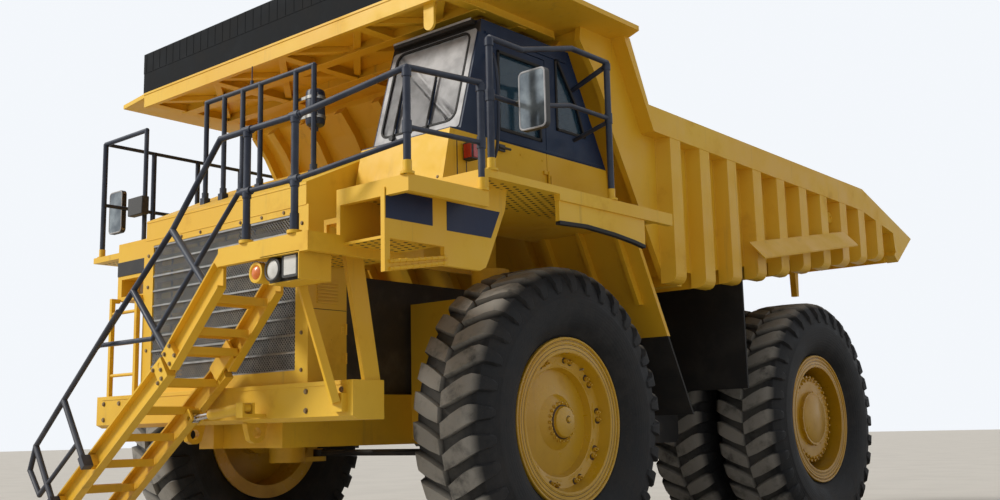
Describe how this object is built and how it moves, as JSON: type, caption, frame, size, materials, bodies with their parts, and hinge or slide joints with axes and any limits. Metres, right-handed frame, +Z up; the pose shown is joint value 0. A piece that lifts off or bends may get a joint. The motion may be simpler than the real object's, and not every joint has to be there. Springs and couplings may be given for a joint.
{
  "type": "rigid mining dump truck",
  "caption": "Two-axle rigid dump truck with a tipping ribbed bed and canopy, an offset cab, decks with handrails and a folding stairway across the radiator.",
  "frame": {"origin": "on the ground, under the middle of the truck's box", "axes": "+X to the truck's left (the cab's side), +Y to its rear, +Z up"},
  "size_m": [6.31, 10.43, 5.415],
  "materials": {
    "yellow_paint": "semi-gloss yellow paint, worn",
    "cab_paint": "dark blue and yellow paint",
    "dark_paint": "dark blue-grey paint",
    "black_paint": "black paint",
    "dark_metal": "dusty cast metal",
    "chrome": "plated rod",
    "tyre": "worn rubber",
    "rubber": "sheet rubber",
    "glass": "clear glass",
    "seat_fabric": "dark cloth",
    "black_plastic": "matte plastic",
    "lamp": "yellow housings with clear lenses"
  },
  "bodies": {
    "chassis": {"frame": "yellow_paint", "front_bumper": "yellow_paint", "radiator_guard": "yellow_paint", "grille": "dark_metal", "hood": "yellow_paint", "engine": "dark_metal", "gearbox": "dark_metal", "struts": "yellow_paint", "rear_axle": "yellow_paint", "side_tanks": "black_paint", "left_decks": "yellow_paint", "right_decks": "yellow_paint", "fender_flaps": "rubber", "upper_stairs": "yellow_paint", "front_lamps": "lamp", "cab_shell": "cab_paint", "cab_glass": "glass", "driver_seat": "seat_fabric", "steering_column": "black_plastic", "mirrors": "dark_paint", "rails": "dark_paint"},
    "left_knuckle": {"left_knuckle": "yellow_paint"},
    "right_knuckle": {"right_knuckle": "yellow_paint"},
    "tie_rod": {"tie_rod": "dark_metal"},
    "left_front_wheel": {"left_front_rim": "yellow_paint", "left_front_tyre": "tyre"},
    "right_front_wheel": {"right_front_rim": "yellow_paint", "right_front_tyre": "tyre"},
    "left_rear_wheels": {"left_rear_rims": "yellow_paint", "left_rear_tyres": "tyre"},
    "right_rear_wheels": {"right_rear_rims": "yellow_paint", "right_rear_tyres": "tyre"},
    "bed": {"bed_floor": "yellow_paint", "bed_sides": "yellow_paint", "bed_front": "yellow_paint", "canopy": "yellow_paint", "bed_flaps": "rubber"},
    "hoist_barrels": {"hoist_barrels": "yellow_paint"},
    "hoist_stages": {"hoist_stages": "chrome"},
    "hoist_rods": {"hoist_rods": "chrome"},
    "cab_door": {"cab_door": "cab_paint", "door_glass": "glass"},
    "lower_stairs": {"lower_stairs": "yellow_paint"},
    "stair_cylinder": {"stair_cylinder": "yellow_paint"},
    "stair_rod": {"stair_rod": "chrome"}
  },
  "joints": [
    {"name": "steer_left", "type": "hinge", "parent": "chassis", "child": "left_knuckle", "pos_m": [1.48, -2.425, 1.3], "axis": [0, 0, 1], "range_deg": [-30, 30]},
    {"name": "steer_right", "type": "hinge", "parent": "chassis", "child": "right_knuckle", "pos_m": [-1.48, -2.425, 1.3], "axis": [0, 0, 1], "range_deg": [-30, 30]},
    {"name": "tie_rod_swing", "type": "hinge", "parent": "left_knuckle", "child": "tie_rod", "pos_m": [1.48, -1.975, 1.09], "axis": [0, 0, 1], "range_deg": [-30, 30]},
    {"name": "spin_left_front", "type": "hinge", "parent": "left_knuckle", "child": "left_front_wheel", "pos_m": [2.085, -2.425, 1.345], "axis": [1, 0, 0], "continuous": true},
    {"name": "spin_right_front", "type": "hinge", "parent": "right_knuckle", "child": "right_front_wheel", "pos_m": [-2.085, -2.425, 1.345], "axis": [1, 0, 0], "continuous": true},
    {"name": "spin_left_rear", "type": "hinge", "parent": "chassis", "child": "left_rear_wheels", "pos_m": [1.788, 2.145, 1.345], "axis": [1, 0, 0], "continuous": true},
    {"name": "spin_right_rear", "type": "hinge", "parent": "chassis", "child": "right_rear_wheels", "pos_m": [-1.788, 2.145, 1.345], "axis": [1, 0, 0], "continuous": true},
    {"name": "bed_tip", "type": "hinge", "parent": "chassis", "child": "bed", "pos_m": [0, 3.275, 2.3], "axis": [-1, 0, 0], "range_deg": [0, 48]},
    {"name": "hoist_swing", "type": "hinge", "parent": "chassis", "child": "hoist_barrels", "pos_m": [0, -0.325, 1.2], "axis": [1, 0, 0], "range_deg": [0, 2.88]},
    {"name": "hoist_stage_slide", "type": "slide", "parent": "hoist_barrels", "child": "hoist_stages", "axis": [0, 0.53, 0.848], "range_m": [0, 1.107]},
    {"name": "hoist_rod_slide", "type": "slide", "parent": "hoist_stages", "child": "hoist_rods", "axis": [0, 0.53, 0.848], "range_m": [0, 1.107]},
    {"name": "cab_door_swing", "type": "hinge", "parent": "chassis", "child": "cab_door", "pos_m": [2.305, -2.551, 3.9], "axis": [0, 0, 1], "range_deg": [0, 42]},
    {"name": "stairs_swing", "type": "hinge", "parent": "chassis", "child": "lower_stairs", "pos_m": [0.3, -4.81, 1.86], "axis": [0, 1, 0], "range_deg": [0, 42]},
    {"name": "stair_cylinder_swing", "type": "hinge", "parent": "chassis", "child": "stair_cylinder", "pos_m": [0.75, -4.615, 1.51], "axis": [0, 1, 0], "range_deg": [0, 18.34]},
    {"name": "stair_rod_slide", "type": "slide", "parent": "stair_cylinder", "child": "stair_rod", "axis": [-0.9957, 0, -0.0931], "range_m": [0, 0.2337]}
  ],
  "couplings": [
    {"joint": "steer_right", "follows": "steer_left", "ratio": 1},
    {"joint": "tie_rod_swing", "follows": "steer_left", "ratio": -1},
    {"joint": "hoist_swing", "follows": "bed_tip", "ratio": 0.06},
    {"joint": "hoist_stage_slide", "follows": "bed_tip", "m_per_rad": 1.3214},
    {"joint": "hoist_rod_slide", "follows": "bed_tip", "m_per_rad": 1.3214},
    {"joint": "stair_cylinder_swing", "follows": "stairs_swing", "ratio": 0.43678},
    {"joint": "stair_rod_slide", "follows": "stairs_swing", "m_per_rad": 0.31881}
  ]
}
